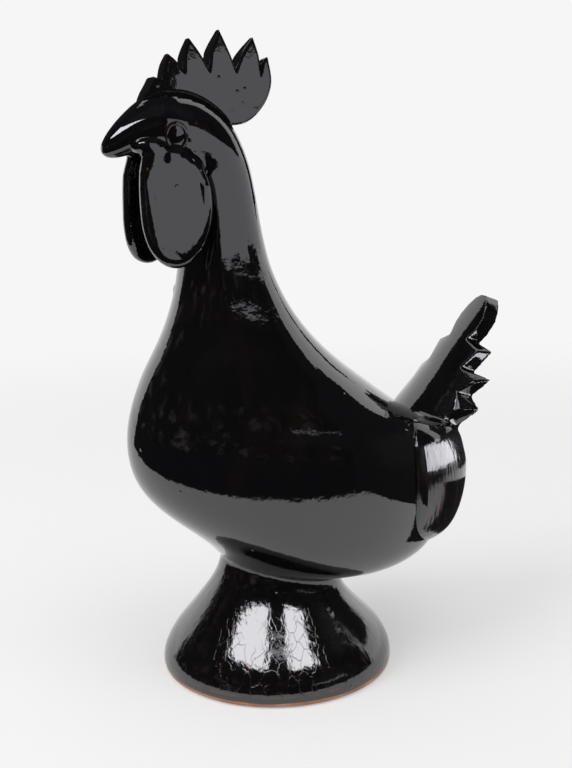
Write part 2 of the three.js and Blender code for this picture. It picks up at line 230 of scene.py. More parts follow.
# body skin: torso, neck, head and beak in one run
torsoForm = {
    "waistRadius": 33.7, "waistSetBack": 3, "waistTilt": 12.5, "base": 56,
    "height": 159, "breastReach": 81, "rumpReach": 104, "halfWidth": 63,
    # front reach, front rise, back reach, back rise, half width, widest place
    "rows": [(0.5, 0.115, 0.56, -0.052, 0.73, 0.47), (0.65, 0.18, 0.76, -0.03, 0.86, 0.46),
             (0.81, 0.25, 0.925, 0.03, 0.94, 0.46), (0.94, 0.333, 0.995, 0.14, 0.985, 0.46),
             (1, 0.43, 1, 0.273, 1, 0.46), (0.995, 0.535, 0.955, 0.385, 0.985, 0.46),
             (0.945, 0.628, 0.86, 0.481, 0.93, 0.46), (0.868, 0.72, 0.695, 0.55, 0.845, 0.46),
             (0.763, 0.814, 0.483, 0.65, 0.735, 0.46), (0.685, 0.907, 0.25, 0.77, 0.615, 0.47)],
}
neckForm = {
    "height": 49, "throatReach": 49.5, "napeReach": 10, "halfWidth": 25,
    "rows": [(1.04, 0, -0.8, -0.31, 1.27), (1, 0.27, 0.25, 0.12, 1.1),
             (0.97, 0.55, 0.72, 0.51, 1), (0.97, 0.82, 1, 0.88, 0.93)],
}
headForm = {
    "height": 47, "faceReach": 71.5, "halfWidth": 23,
    "rows": [(0.685, 0, 0.18, 0.2, 0.96), (0.735, 0.16, 0.24, 0.45, 0.98), (0.8, 0.27, 0.35, 0.73, 1),
             (0.86, 0.33, 0.56, 0.95, 0.96), (0.93, 0.355, 0.8, 1, 0.81)],
}
beakForm = {
    "length": 18, "riseShare": 0.32, "height": 28, "halfWidth": 14.5,
    "rows": [(0, 0.06, -0.2, 1, 1), (0.31, 0.02, 0.22, 0.8, 0.74), (0.61, -0.02, 0.58, 0.58, 0.54),
             (0.87, 0, 0.86, 0.36, 0.34), (1, 0.08, 1, 0.2, 0.14)],
}
neckLevel = torsoForm["base"] + torsoForm["height"]
headLevel = neckLevel + neckForm["height"]
beakLevel = headLevel + headForm["height"] * beakForm["riseShare"]
waistSeat = torsoForm["waistSetBack"], torsoForm["waistTilt"]


def formRows(form, level, front, back):
    # front and back say where along Y a share of 0 lies and how far on a share of 1
    rise = form["height"]
    return [section(front[0] + front[1] * under, level + rise * underUp, back[0] + back[1] * over,
                    level + rise * overUp, form["halfWidth"] * half, *wide)
            for under, underUp, over, overUp, half, *wide in form["rows"]]


skinStations = [roundSection(torsoForm["waistRadius"], torsoForm["base"], *waistSeat)]
skinStations += formRows(torsoForm, torsoForm["base"],
                         (0, -torsoForm["breastReach"]), (0, torsoForm["rumpReach"]))
skinStations += formRows(neckForm, neckLevel, (0, -neckForm["throatReach"]), (0, -neckForm["napeReach"]))
skinStations += formRows(headForm, headLevel, *[(0, -headForm["faceReach"])] * 2)
skinStations += formRows(beakForm, beakLevel, *[(-headForm["faceReach"], -beakForm["length"])] * 2)
neckStart = 1 + len(torsoForm["rows"])
headStart = neckStart + len(neckForm["rows"])
beakStart = headStart + len(headForm["rows"])


def stationPlane(row):
    # a point on the section, and the normal that points along the skin
    front = row[0]
    chord = (row[1] - front).normalized()
    return place(0, front.x, front.y), Vector((0, -chord.y, chord.x))


waistPlane, neckPlane, headPlane, beakPlane = (
    stationPlane(skinStations[start]) for start in (0, neckStart, headStart, beakStart))

skirtRow = roundSection(27, 52, 3, 8)  # runs on inside the pedestal
skin = loft("skin", [skirtRow] + between(skinStations, 2), sides=32, levels=2)
print("skin:", len(skin.data.polygons), "faces")


# pedestal, foot coil and the hollow under them
pedestalForm = {
    "footRadius": 64.2, "base": 6.3, "top": 55.7, "wall": 6.5,
    # height share, share of the flare from the waist to the foot
    "rows": [(0, 1), (0.07, 0.972), (0.155, 0.91), (0.275, 0.79), (0.41, 0.6),
             (0.54, 0.42), (0.68, 0.24), (0.83, 0.08), (1, 0)],
}
footForm = {"radius": 64.2, "tread": 10, "joint": 6.15, "rounding": 2.7}
hollowForm = {"roof": 58, "ventRadius": 17, "ventRise": 26}


def pedestalRow(share, flare, inwards=0):
    p, t = pedestalForm, torsoForm
    radius = t["waistRadius"] + (p["footRadius"] - t["waistRadius"]) * flare - inwards
    level = p["base"] + (p["top"] - p["base"]) * share
    return roundSection(radius, level, t["waistSetBack"] * share, t["waistTilt"] * share**2)


pedestalRows = between([pedestalRow(*row) for row in pedestalForm["rows"]], 2)
pedestal = loft("pedestalClay", [roundSection(63.6, 3.5)] + pedestalRows
                + [roundSection(32.6, 61, *waistSeat), roundSection(30, 64, *waistSeat)], sides=40, levels=1)
rim, rounding = footForm["radius"], footForm["rounding"]
foot = loft("footClay", [roundSection(rim - rounding, 0), roundSection(rim - 0.9, 0.7),
                         roundSection(rim, rounding), roundSection(rim, 5.5), roundSection(62, 9)], sides=96)
inside = rim - footForm["tread"]
hollowRows = [roundSection(inside, -4), roundSection(inside, 5)]
hollowRows += [pedestalRow(share, flare, pedestalForm["wall"]) for share, flare in pedestalForm["rows"][1:]]
vent, roof = hollowForm["ventRadius"], hollowForm["roof"]
hollowRows += [roundSection(27, roof, *waistSeat), roundSection(vent + 0.5, roof, *waistSeat),
               roundSection(vent, roof + 1.5, *waistSeat),
               roundSection(vent, roof + hollowForm["ventRise"], waistSeat[0])]
hollow = loft("hollowSpace", hollowRows, sides=72)


def carve(piece, cutter):
    cut = piece.modifiers.new("carve", "BOOLEAN")
    cut.operation, cut.solver, cut.object = "DIFFERENCE", "EXACT", cutter
    applyModifiers(piece)


for piece in (skin, pedestal, foot):
    carve(piece, hollow)
print("pedestal and foot carved")


# tail: a wrap round the rump and a cupped fan with cut notches
wrapForm = {
    "base": 60, "height": 78.5, "root": 53, "reach": 118.5, "halfWidth": 53.5, "widest": 0.12,
    # root rise, rear rise, root, reach, half width
    "rows": [(0, 0, 1.23, 0.86, 0.46), (0.09, 0.09, 1.08, 0.915, 0.76), (0.23, 0.23, 1, 0.96, 0.93),
             (0.42, 0.41, 1, 0.99, 1), (0.63, 0.58, 1, 1, 1), (0.79, 0.69, 1.02, 0.985, 0.95),
             (0.91, 0.78, 1.08, 0.97, 0.87), (1, 0.83, 1.2, 0.94, 0.73)],
}
fanForm = {
    "base": 131, "height": 66, "halfWidth": 29, "thickness": 9.9, "lean": 39.3, "roll": 4,
    "rootFlare": 7, "curve": 30, "setBack": 87, "columns": 16,
    # front rise, rear rise, front half width, rear half width, root flare
    "rows": [(-0.14, -0.2, 0.86, 0.86, 1), (-0.03, -0.085, 0.84, 0.86, 0.8), (0.08, 0.11, 1, 1.14, 0.45),
             (0.24, 0.185, 0.75, 0.77, 0.15), (0.325, 0.345, 0.905, 1.02, 0.05),
             (0.42, 0.365, 0.52, 0.56, 0),
             (0.57, 0.55, 0.65, 0.7, 0), (0.644, 0.59, 0.27, 0.3, 0), (0.73, 0.68, 0.37, 0.36, 0),
             (0.82, 0.77, 0.37, 0.35, 0), (0.9, 0.85, 0.3, 0.28, 0), (0.96, 0.905, 0.2, 0.18, 0),
             (1, 0.945, 0.08, 0.07, 0)],
}


def wrapRows():
    w = wrapForm
    return [section(w["root"] * root, w["base"] + w["height"] * rootRise,
                    w["reach"] * reach, w["base"] + w["height"] * rearRise,
                    w["halfWidth"] * half, w["widest"])
            for rootRise, rearRise, root, reach, half in w["rows"]]


wrap = loft("wrapClay", between(wrapRows(), 2), sides=48, levels=1, capInset=2)


def fanSheet(piece, rear):
    f = fanForm
    lean, roll = math.tan(math.radians(f["lean"])), math.tan(math.radians(f["roll"]))
    perRow = f["columns"] + 1
    selectMesh("DESELECT")
    bpy.ops.mesh.primitive_grid_add(x_subdivisions=f["columns"], y_subdivisions=len(f["rows"]) - 1,
                                    size=f["height"] * mm, location=place(0, f["setBack"], f["base"]))
    mesh = bmesh.from_edit_mesh(piece.data)
    new = [vertex for vertex in mesh.verts if vertex.select]
    for i, vertex in enumerate(new):
        across = 2 * (i % perRow) / f["columns"] - 1
        frontUp, rearUp, frontWide, rearWide, flare = f["rows"][i // perRow]
        frontX, rearX = (f["halfWidth"] * wide * across for wide in (frontWide, rearWide))
        faceY = f["setBack"] + f["height"] * frontUp * lean + frontX**2 / (2 * f["curve"])
        if rear:
            vertex.co = place(rearX, faceY + f["thickness"], f["base"] + f["height"] * rearUp - rearX * roll)
        else:
            vertex.co = place(frontX, faceY - f["rootFlare"] * flare,
                              f["base"] + f["height"] * frontUp - frontX * roll)
    bmesh.update_edit_mesh(piece.data)


fan = startPiece("fanClay")
fanSheet(fan, rear=False)
fanSheet(fan, rear=True)
pickOpenEdges()
bpy.ops.mesh.bridge_edge_loops()
finishPiece(fan)
print("tail: wrap", len(wrap.data.polygons), "fan", len(fan.data.polygons))


# slabs: comb and wattles
combForm = {
    "thickness": 11, "length": 64, "height": 44, "front": 63, "riseShare": 0.64, "rounding": 1.2,
    # the points thin out to a share of the thickness, near tipSide, and grow by tipRise
    "taper": 10, "tipShare": 0.4, "tipSide": 5.0, "tipRise": 1.4, "riseReach": 9,
    "tipsFrom": 36, "tipsWidth": 14,
    # runs from tip to valley to tip: share of the length, share of the height
    "runs": [[(0, 0.5), (0.045, 0.48), (0.08, 0.465)], [(0.08, 0.465), (0.085, 0.61), (0.12, 0.72)],
             [(0.12, 0.72), (0.19, 0.66), (0.245, 0.575)], [(0.245, 0.575), (0.255, 0.75), (0.295, 0.9)],
             [(0.295, 0.9), (0.39, 0.76), (0.46, 0.6)], [(0.46, 0.6), (0.485, 0.82), (0.55, 1)],
             [(0.55, 1), (0.63, 0.81), (0.69, 0.6)], [(0.69, 0.6), (0.745, 0.78), (0.84, 0.93)],
             [(0.84, 0.93), (0.885, 0.78), (0.905, 0.6)], [(0.905, 0.6), (0.927, 0.69), (0.968, 0.725)],
             [(0.968, 0.725), (1, 0.47), (0.93, 0.21), (0.77, 0.01), (0.6, -0.02), (0.4, 0.1),
              (0.1, 0.12), (-0.09, 0.2), (0, 0.5)]],
}
wattleForm = {
    "thickness": 8, "length": 55, "width": 35, "front": 75.5, "spread": 13, "toeIn": 15, "drop": 39,
    # ahead of turnFrom the front edge turns in, and from leanFrom up the top leans in
    "flare": 4, "rounding": 3.4, "turnFrom": 13, "turn": 0.019, "leanFrom": -9, "lean": (0.16, 0.009),
    "outline": [(0.02, 0.12), (0, 0.27), (0, 0.45), (0.02, 0.64), (0.1, 0.82), (0.25, 0.95), (0.45, 1),
                (0.66, 0.96), (0.85, 0.82), (0.96, 0.64), (1, 0.44), (0.97, 0.24), (0.88, 0.07),
                (0.76, -0.06),
                (0.6, -0.11), (0.42, -0.1), (0.24, -0.05), (0.08, -0.01)],
}


def slab(name, outline, thickness, rounding):
    # a flat outline (along, up) in millimetres, cut from a slab that stands on its edge along Y
    piece = startPiece(name)
    bpy.ops.mesh.primitive_circle_add(vertices=len(outline), radius=10 * mm, location=place(0, 0, 0))
    mesh = bmesh.from_edit_mesh(piece.data)
    mesh.verts.ensure_lookup_table()
    for i, (along, up) in enumerate(outline):
        mesh.verts[i].co = place(-thickness / 2, along, up)
    bmesh.update_edit_mesh(piece.data)
    selectMesh("SELECT")
    bpy.ops.mesh.edge_face_add()
    bpy.ops.mesh.extrude_region_move(TRANSFORM_OT_translate={"value": (thickness * mm, 0, 0)})
    pick(piece, "EDGE", lambda edge: abs(edge.verts[0].co.x - edge.verts[1].co.x) < 0.5 * mm)
    bpy.ops.mesh.bevel(offset=rounding * mm, segments=4, affect="EDGES", clamp_overlap=False)
    return finishPiece(piece)


combFoot = headLevel + headForm["height"] + combForm["height"] * (combForm["riseShare"] - 1)


def combPoint(along, up):
    # shares of the comb's length and height to millimetres
    return -combForm["front"] + combForm["length"] * along, combFoot + combForm["height"] * up


combOutline = []
for run in combForm["runs"]:
    points = [Vector(point) for point in run]
    combOutline += [combPoint(*curvePoint(points, i / 4)) for i in range((len(points) - 1) * 4)]
comb = slab("combClay", combOutline, combForm["thickness"], combForm["rounding"])


def wattleOutline():
    # a smooth closed curve through the outline's points
    points = [Vector(point) for point in wattleForm["outline"]]
    closed = points[-2:] + points + points[:3]
    curve = [curvePoint(closed, 2 + i / 3) for i in range(len(points) * 3)]
    return [(wattleForm["width"] * p.x, -wattleForm["length"] * p.y) for p in curve]


def wattle(side):
    w = wattleForm
    piece = slab(f"wattleClay{side}", wattleOutline(), w["thickness"], w["rounding"])
    for vertex in piece.data.vertices:
        along = (vertex.co.y - axisY) / mm
        ahead = max(0, w["turnFrom"] - along)
        above = max(0, vertex.co.z / mm - w["leanFrom"])
        inward = w["lean"][0] + w["lean"][1] * along
        vertex.co.x -= (w["turn"] * ahead**2 + inward * above) * mm
    turn = (Matrix.Rotation(math.radians(-w["toeIn"]), 4, "Z")
            @ Matrix.Rotation(math.radians(-w["flare"]), 4, "Y"))
    lift = place(w["spread"], -w["front"], headLevel - w["drop"] + w["length"])
    piece.matrix_world = (Matrix.Diagonal((side, 1, 1, 1)) @ Matrix.Translation(lift) @ turn
                          @ Matrix.Translation((0, -axisY, 0)))
    return settle(piece)


wattles = [wattle(1), wattle(-1)]

# slip in the crook between cheek and wattle, and a drip on the throat: place, half sizes
slipForm = {"cheek": ((10, -54, 276), (11.3, 14, 13)), "jaw": ((8, -66, 284), (9, 11, 5.5)),
            "throat": ((-10.4, -48, 211), (4, 3, 4.2))}
# joints that are smoothed over: places, how far round them, how often
cheekEase = {"spots": [(20, -57, 276), (18, -66, 277), (22, -48, 276)], "reach": 12, "passes": 220}
rumpEase = {"spots": [(40, 74, 129), (36, 86, 131), (31, 98, 132), (20, 92, 134)], "reach": 14, "passes": 150}


def blob(name, side=1):
    (x, y, z), reach = slipForm[name]
    centre = place(x * side, y, z)
    deselectAll()
    bpy.ops.mesh.primitive_uv_sphere_add(segments=32, ring_count=16, radius=mm, location=centre)
    piece = bpy.context.object
    piece.name = name
    setMode("EDIT")
    bpy.ops.transform.resize(value=reach, center_override=centre)
    setMode("OBJECT")
    return settle(piece)


slips = [blob(name, side) for name in ("cheek", "jaw") for side in (1, -1)]

# eyes: a coil bent into a ring, with a pellet pressed inside
eyeForm = {"width": 9.6, "height": 12.4, "bead": 0.9, "pellet": (7.8, 10.4, 1.2), "dent": 0.12, "dentSize": 4,
           "angle": 64, "placeShare": 0.655}


def pointOn(row, angle):
    front, back, half, wide = row
    along = -math.cos(angle)
    share = wide + along * (wide if along < 0 else 1 - wide)
    middle = front.lerp(back, share)
    return place(half * math.sin(angle), middle.x, middle.y)


def cheek():
    # the eye's seat on the skin, with its own directions
    spot = headStart + (beakStart - headStart) * eyeForm["placeShare"]
    angle, step = math.radians(eyeForm["angle"]), 0.05
    here, before, after = (sectionAt(skinStations, spot + ahead) for ahead in (0, -step, step))
    seat = pointOn(here, angle)
    along = pointOn(after, angle) - pointOn(before, angle)
    sideways = pointOn(here, angle + step) - pointOn(here, angle - step)
    outward = along.cross(sideways).normalized()
    if outward.x < 0:
        outward.negate()
    wide = Vector((0, 0, 1)).cross(outward).normalized()
    high = outward.cross(wide)
    return Matrix.Translation(seat) @ Matrix((wide, high, outward)).transposed().to_4x4()


def seatEye(piece, name, side, stretch):
    piece.name = name
    piece.matrix_world = Matrix.Diagonal((side, 1, 1, 1)) @ cheek() @ Matrix.Diagonal((*stretch, 1))
    return settle(piece)


eyes = {}
leftSide = 1 if sum(corner.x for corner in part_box("eye_ring_left")) > 0 else -1
for side, sideName in ((leftSide, "left"), (-leftSide, "right")):
    deselectAll()
    bpy.ops.mesh.primitive_torus_add(major_radius=eyeForm["width"] / 2 * mm, major_segments=72,
                                     minor_radius=eyeForm["bead"] * mm, minor_segments=20)
    eyes["eye_ring_" + sideName] = seatEye(bpy.context.object, "eyeCoil", side,
                                           (1, eyeForm["height"] / eyeForm["width"], 1))
    deselectAll()
    bpy.ops.mesh.primitive_uv_sphere_add(radius=mm, segments=48, ring_count=24)
    eyes["eye_pellet_" + sideName] = seatEye(bpy.context.object, "eyePellet", side,
                                             [size / 2 for size in eyeForm["pellet"]])
for piece in eyes.values():
    # the coils and pellets were rolled by hand, so they aren't quite even
    worked = bpy.data.textures.new("handWorked", "CLOUDS")
    worked.noise_scale = eyeForm["dentSize"] * mm
    dents = piece.modifiers.new("dents", "DISPLACE")
    dents.texture, dents.texture_coords, dents.strength = worked, "GLOBAL", eyeForm["dent"] * mm
    applyModifiers(piece)
print("comb, wattles and eyes modelled")


# luting: the clay forms are pressed together, softened, and parted again along their joints
def cutAt(piece, plane, keepAbove=None, fill=False):
    # keeps what is above the plane, or below it, or with None both, parted by new edges
    makeActive(piece)
    setMode("EDIT")
    selectMesh("SELECT")
    bpy.ops.mesh.bisect(plane_co=plane[0], plane_no=plane[1], use_fill=fill, threshold=1e-6,
                        clear_inner=keepAbove is True, clear_outer=keepAbove is False)
    setMode("OBJECT")


def luted(name, forms, grain, passes):
    whole = makeActive(*forms)
    bpy.ops.object.join()
    whole.name = name
    press = whole.modifiers.new("press", "REMESH")
    press.mode, press.voxel_size, press.use_smooth_shade = "VOXEL", grain * mm, True
    ease = whole.modifiers.new("ease", "SMOOTH")
    ease.factor, ease.iterations = 0.5, passes
    applyModifiers(whole)
    return whole


def raised(plane, rise):
    return plane[0] + plane[1] * rise * mm, plane[1]


def taperComb(piece):
    # the comb's points thin out to their tips, and the smoothing's loss of height is given back
    c = combForm
    tips = [place(0, *combPoint(*run[-1])) for run in c["runs"][1:-1:2]]
    for vertex in piece.data.vertices:
        if vertex.co.z > (headLevel + c["tipsFrom"]) * mm and abs(vertex.co.x) < c["tipsWidth"] / 2 * mm:
            away = min((vertex.co - tip).yz.length for tip in tips) / mm
            lost = (1 - c["tipShare"]) * max(0, 1 - away / c["taper"])
            vertex.co.x += (c["tipSide"] * mm - vertex.co.x) * lost
            vertex.co.z += max(0, 1 - away / c["riseReach"]) * c["tipRise"] * mm


def easeSpots(piece, ease):
    # a joint smoothed over with a wet finger, on both sides of the bird
    spots = np.array([place(side * x, y, z) for x, y, z in ease["spots"] for side in (1, -1)])
    away = np.linalg.norm(readAll(piece.data.vertices, "co", width=3)[:, None] - spots, axis=2).min(1) / mm
    wet = piece.vertex_groups.new(name="wet")
    for step in range(10):
        ring = (1 - away / ease["reach"]) * 10
        picked = np.nonzero((ring > step) & (ring <= step + 1))[0]
        wet.add(picked.tolist(), min(1, (step + 1) / 5), "REPLACE")
    finger = piece.modifiers.new("finger", "SMOOTH")
    finger.factor, finger.iterations, finger.vertex_group = 0.5, ease["passes"], wet.name
    applyModifiers(piece)
    piece.vertex_groups.clear()


upperSkin = copyOf(skin, "upperSkin")
cutAt(upperSkin, raised(neckPlane, -8), keepAbove=True, fill=True)
cutAt(skin, raised(neckPlane, 8), keepAbove=False, fill=True)
lower = luted("lower", [skin, pedestal, foot, blob("throat")], grain=1.07, passes=5)
tail = luted("tail", [wrap, fan], grain=0.7, passes=6)
easeSpots(tail, rumpEase)
upper = luted("upper", [upperSkin, comb, *wattles, *slips], grain=0.5, passes=4)
taperComb(upper)
easeSpots(upper, cheekEase)
cutAt(lower, neckPlane, keepAbove=False)
cutAt(upper, neckPlane, keepAbove=True)
print("luted:", len(lower.data.polygons), "and", len(upper.data.polygons), "faces")

footPlane = place(0, 0, footForm["joint"]), Vector((0, 0, 1))
for piece, plane in ((lower, footPlane), (lower, waistPlane), (upper, headPlane), (upper, beakPlane)):
    cutAt(piece, plane)


def nearestNodes(points, names):
    corners, faces, owners = [], [], []
    for number, name in enumerate(names):
        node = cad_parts[name]
        start = len(corners)
        corners += [vertex.co.copy() for vertex in node.data.vertices]
        faces += [[start + i for i in polygon.vertices] for polygon in node.data.polygons]
        owners += [number] * len(node.data.polygons)
    tree = BVHTree.FromPolygons(corners, faces)
    return np.array([owners[tree.find_nearest(Vector(point))[2]] for point in points])


def above(points, plane):
    return (points - np.array(plane[0])) @ np.array(plane[1]) > 0


def tidyLabels(mesh, labels, passes=6):
    # a face joins its neighbours where most of them belong to another node
    loopEdges = readAll(mesh.loops, "edge_index", int)
    sizes = readAll(mesh.polygons, "loop_total", int)
    faceOf = np.repeat(np.arange(len(sizes)), sizes)
    order = np.argsort(loopEdges, kind="stable")
    edges, faces = loopEdges[order], faceOf[order]
    same = np.nonzero(edges[1:] == edges[:-1])[0]
    one, two = faces[same], faces[same + 1]
    count = labels.max() + 1
    for _ in range(passes):
        votes = np.zeros((len(sizes), count), int)
        np.add.at(votes, (one, labels[two]), 2)
        np.add.at(votes, (two, labels[one]), 2)
        votes[np.arange(len(sizes)), labels] += 1
        labels = votes.argmax(1)
    return labels


def partNodes(whole, names, rule):
    mesh = whole.data
    labels = tidyLabels(mesh, rule(readAll(mesh.polygons, "center", width=3)))
    normals = readAll(mesh.vertex_normals, "vector", np.float32, 3).ravel()
    mesh.attributes.new("wholeNormal", "FLOAT_VECTOR", "POINT").data.foreach_set("vector", normals)
    ones = np.ones(len(mesh.polygons), np.int32)
    mesh.attributes.new("outer", "INT", "FACE").data.foreach_set("value", ones)
    mesh.materials.clear()
    for name in names:
        mesh.materials.append(bpy.data.materials.new("part:" + name))
    mesh.polygons.foreach_set("material_index", labels.astype(np.int32))
    makeActive(whole)
    setMode("EDIT")
    selectMesh("SELECT")
    bpy.ops.mesh.separate(type="MATERIAL")
    setMode("OBJECT")
    pieces = {}
    for piece in list(bpy.context.selected_objects):
        slotName = piece.data.materials[piece.data.polygons[0].material_index].name
        pieces[slotName.split(":")[1]] = piece
    return pieces


def lowerRule(points):
    return np.where(above(points, footPlane), np.where(above(points, waistPlane), 0, 1), 2)


upperNames = ["neck", "head", "beak", "comb", "wattle_left", "wattle_right"]


def upperRule(points):
    nearest = nearestNodes(points, upperNames)
    column = np.where(above(points, headPlane), np.where(above(points, beakPlane), 2, 1), 0)
    return np.where(nearest > 2, nearest, column)


pieces = partNodes(lower, ["torso", "pedestal", "foot_ring"], lowerRule)
pieces.update(partNodes(upper, upperNames, upperRule))
unparted = {"tail": tail, **eyes}
pieces.update(unparted)
for piece in unparted.values():
    setFaces(piece, "use_smooth", True)
print("parted:", {name: len(piece.data.polygons) for name, piece in pieces.items()})


def rimOn(edge, plane):
    return edge.is_boundary and all(abs((end.co - plane[0]).dot(plane[1])) < 0.05 * mm for end in edge.verts)


def closeRims(piece, wallPlanes=()):
    # walls are closed between their outer and inner edges, the other joints by a flat face
    makeActive(piece)
    setMode("EDIT")
    for plane in wallPlanes:
        pick(piece, "EDGE", lambda edge: rimOn(edge, plane))
        bpy.ops.mesh.bridge_edge_loops()
    pickOpenEdges()
    bpy.ops.mesh.fill_holes(sides=0)
    setMode("OBJECT")
    mesh = piece.data
    setFaces(piece, "use_smooth", True)
    # outer faces keep the shading that they had before the parting, so no joint shows as a crease
    sizes = readAll(mesh.polygons, "loop_total", np.int32)
    faceOf = np.repeat(np.arange(len(sizes)), sizes)
    outer = readAll(mesh.attributes["outer"].data, "value", np.int32)[faceOf] == 1
    before = readAll(mesh.attributes["wholeNormal"].data, "vector", np.float32, 3)
    flat = readAll(mesh.polygon_normals, "vector", np.float32, 3)
    corner = readAll(mesh.loops, "vertex_index", np.int32)
    normals = np.where(outer[:, None], before[corner], flat[faceOf])
    mesh.normals_split_custom_set([tuple(normal) for normal in normals])
    for name in ("wholeNormal", "outer"):
        mesh.attributes.remove(mesh.attributes[name])


rimPlanes = {"torso": [waistPlane], "pedestal": [waistPlane, footPlane], "foot_ring": [footPlane]}
for name, piece in pieces.items():
    if name not in unparted:
        closeRims(piece, rimPlanes.get(name, ()))
print("rims closed")


# finishes
def markBare(piece, tree, reach):
    # 1 on the unglazed clay inside the hollow and under the foot, 0 on the glaze
    mesh = piece.data
    bare = np.zeros(len(mesh.vertices), np.float32)
    for i, vertex in enumerate(mesh.vertices):
        if vertex.co.z < 0.35 * mm or tree.find_nearest(vertex.co, reach * mm)[0]:
            bare[i] = 1
    mesh.attributes.new("bare", "FLOAT", "POINT").data.foreach_set("value", bare)


hollowTree = BVHTree.FromObject(hollow, bpy.context.evaluated_depsgraph_get())
for name in ("torso", "pedestal", "foot_ring"):
    markBare(pieces[name], hollowTree, 1.2)
bpy.data.objects.remove(hollow)


class Bench:
    # short ways to lay and join shader nodes
    def __init__(self, tree):
        self.nodes, self.links = tree.nodes, tree.links

    def feed(self, node, inputs):
        # a socket is joined to the input, anything else is the input's own value
        for name, value in inputs.items():
            if isinstance(value, bpy.types.NodeSocket):
                self.links.new(value, node.inputs[name])
            else:
                node.inputs[name].default_value = value
        return node

    def node(self, kind, inputs=(), **settings):
        new = self.nodes.new("ShaderNode" + kind)
        for name, value in settings.items():
            setattr(new, name, value)
        return self.feed(new, dict(inputs))

    def math(self, kind, *values):
        total = values[0]
        for value in values[1:]:
            total = self.node("Math", {0: total, 1: value}, operation=kind).outputs[0]
        return total

    def plus(self, *values):
        return self.math("ADD", *values)

    def times(self, *values):
        return self.math("MULTIPLY", *values)

    def step(self, value, low, high, atLow=0.0, atHigh=1.0):
        return self.node("MapRange", {"Value": value, "From Min": low, "From Max": high, "To Min": atLow,
                                      "To Max": atHigh}, interpolation_type="SMOOTHSTEP").outputs["Result"]

    def noise(self, vector, scale, detail=2.0, distortion=0.0):
        return self.node("TexNoise", {"Vector": vector, "Scale": scale, "Detail": detail,
                                      "Distortion": distortion}).outputs["Fac"]

    def stretched(self, vector, *scale):
        return self.node("Mapping", {"Vector": vector, "Scale": scale}).outputs["Vector"]

    def mix(self, share, one, two):
        return self.node("Mix", {0: share, 6: one, 7: two}, data_type="RGBA").outputs[2]


def newMaterial(name):
    material = bpy.data.materials.new(name)
    material.use_nodes = True
    return material, Bench(material.node_tree), material.node_tree.nodes["Principled BSDF"]


def newGroup(name, inputs, outputs):
    group = bpy.data.node_groups.new(name, "ShaderNodeTree")
    for label, kind, value in inputs:
        socket = group.interface.new_socket(name=label, in_out="INPUT", socket_type="NodeSocket" + kind)
        if value is not None:
            socket.default_value = value
    for label, kind in outputs:
        group.interface.new_socket(name=label, in_out="OUTPUT", socket_type="NodeSocket" + kind)
    bench = Bench(group)
    return group, bench, group.nodes.new("NodeGroupInput"), group.nodes.new("NodeGroupOutput")


def glazeGroup():
    # a thick black glaze that ran as it melted: ripples, orange peel, crackle, pits, brown where it is thin
    group, b, given, put = newGroup(
        "blackGlazeSurface", [("Vector", "Vector", None), ("Ripple", "Float", 1.0), ("Crackle", "Float", 1.0),
                              ("Pits", "Float", 1.0), ("Streaks", "Float", 0.0), ("Thin", "Float", 0.0)],
        [("Color", "Color"), ("Roughness", "Float"), ("Height", "Float")])
    spot = given.outputs["Vector"]
    flow, fall, combed = (b.stretched(spot, 1, 1, share) for share in (0.3, 0.16, 0.07))
    wander = b.node("TexNoise", {"Vector": spot, "Scale": 140.0, "Detail": 4.0}).outputs["Color"]
    nudge = b.node("VectorMath", {0: wander, 1: (0.006, 0.006, 0.002)}, operation="MULTIPLY").outputs[0]
    drawn = b.node("VectorMath", {0: fall, 1: nudge}, operation="ADD").outputs[0]
    slow, quick, peel = b.noise(flow, 38.0), b.noise(spot, 240.0, 3.0), b.noise(spot, 900.0, 1.0)
    cells = b.node("TexVoronoi", {"Vector": drawn, "Scale": 170.0}, feature="DISTANCE_TO_EDGE")
    patch = b.step(b.noise(spot, 34.0, 3.0), 0.4, 0.52)
    crack = b.times(b.step(cells.outputs["Distance"], 0.01, 0.032, 1.0, 0.0), patch, given.outputs["Crackle"])
    comb = b.times(b.noise(combed, 420.0, 3.0), given.outputs["Streaks"])
    dots = b.node("TexVoronoi", {"Vector": spot, "Scale": 190.0})
    pick = b.node("SeparateColor", {"Color": dots.outputs["Color"]}).outputs[0]
    pit = b.times(b.step(dots.outputs["Distance"], 0.06, 0.2, 1.0, 0.0), b.step(pick, 0.955, 0.97),
                  given.outputs["Pits"])
    warm = b.times(given.outputs["Thin"], b.step(b.noise(spot, 130.0, 4.0), 0.35, 0.62))
    mottle = b.step(b.noise(flow, 60.0, 4.0), 0.5, 0.8)
    color = b.mix(mottle, (0.003, 0.0028, 0.0036, 1), (0.0062, 0.0045, 0.0046, 1))
    color = b.mix(warm, color, (0.075, 0.026, 0.016, 1))
    color = b.mix(b.step(comb, 0.52, 0.7, 0.0, 0.8), color, (0.05, 0.018, 0.014, 1))
    color = b.mix(crack, color, (0.016, 0.004, 0.0035, 1))
    rough = b.plus(0.045, b.times(comb, 0.22), b.times(warm, 0.12))
    waves = b.plus(b.times(slow, 2.6), b.times(quick, 0.75), b.times(peel, 0.014))
    height = b.math("SUBTRACT", b.times(waves, given.outputs["Ripple"]), b.times(crack, 0.4))
    height = b.plus(height, b.times(comb, 4.0), b.times(pit, 1.6))
    b.feed(put, {"Color": color, "Roughness": rough, "Height": height})
    return group


